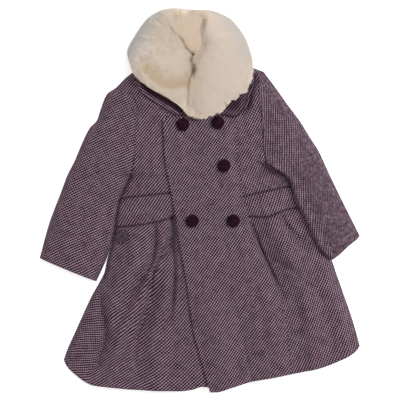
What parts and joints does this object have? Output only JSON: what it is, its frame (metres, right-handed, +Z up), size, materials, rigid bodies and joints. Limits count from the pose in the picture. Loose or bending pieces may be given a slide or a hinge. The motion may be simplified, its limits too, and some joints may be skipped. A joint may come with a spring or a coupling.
{
  "type": "overcoat",
  "caption": "Small child's double-breasted tweed overcoat with a fur collar, flared skirt and covered buttons, laid flat and buttoned; worn over clothes for warmth",
  "frame": {"origin": "middle of the bounding box on the surface that the coat lies on", "axes": "+X to the wearer's left, +Y from hem to collar, +Z up out of the coat's front"},
  "size_m": [0.48, 0.5742, 0.054],
  "materials": {
    "tweed": "wool tweed, aubergine and pale grey-mauve twill, slightly fuzzy",
    "fur": "soft dense cream faux fur",
    "velvet": "dark aubergine cotton velvet",
    "lining": "plain dark lining cloth"
  },
  "bodies": {
    "root": {"back_bodice": "tweed", "back_skirt": "tweed", "right_side_front": "tweed", "left_side_front": "tweed", "right_waist_band": "tweed", "left_waist_band": "tweed", "right_skirt_front": "tweed", "left_skirt_front": "tweed", "right_centre_front": "tweed", "left_centre_front": "tweed", "right_top_sleeve": "tweed", "right_under_sleeve": "tweed", "left_top_sleeve": "tweed", "left_under_sleeve": "tweed", "right_under_collar": "tweed", "left_under_collar": "tweed", "right_fur_collar": "fur", "left_fur_collar": "fur", "back_neck_fur": "fur", "button_top_right": "velvet", "button_top_left": "velvet", "button_middle_left": "velvet", "button_low_right": "velvet", "button_low_left": "velvet", "right_pocket_lining": "lining"}
  },
  "joints": []
}
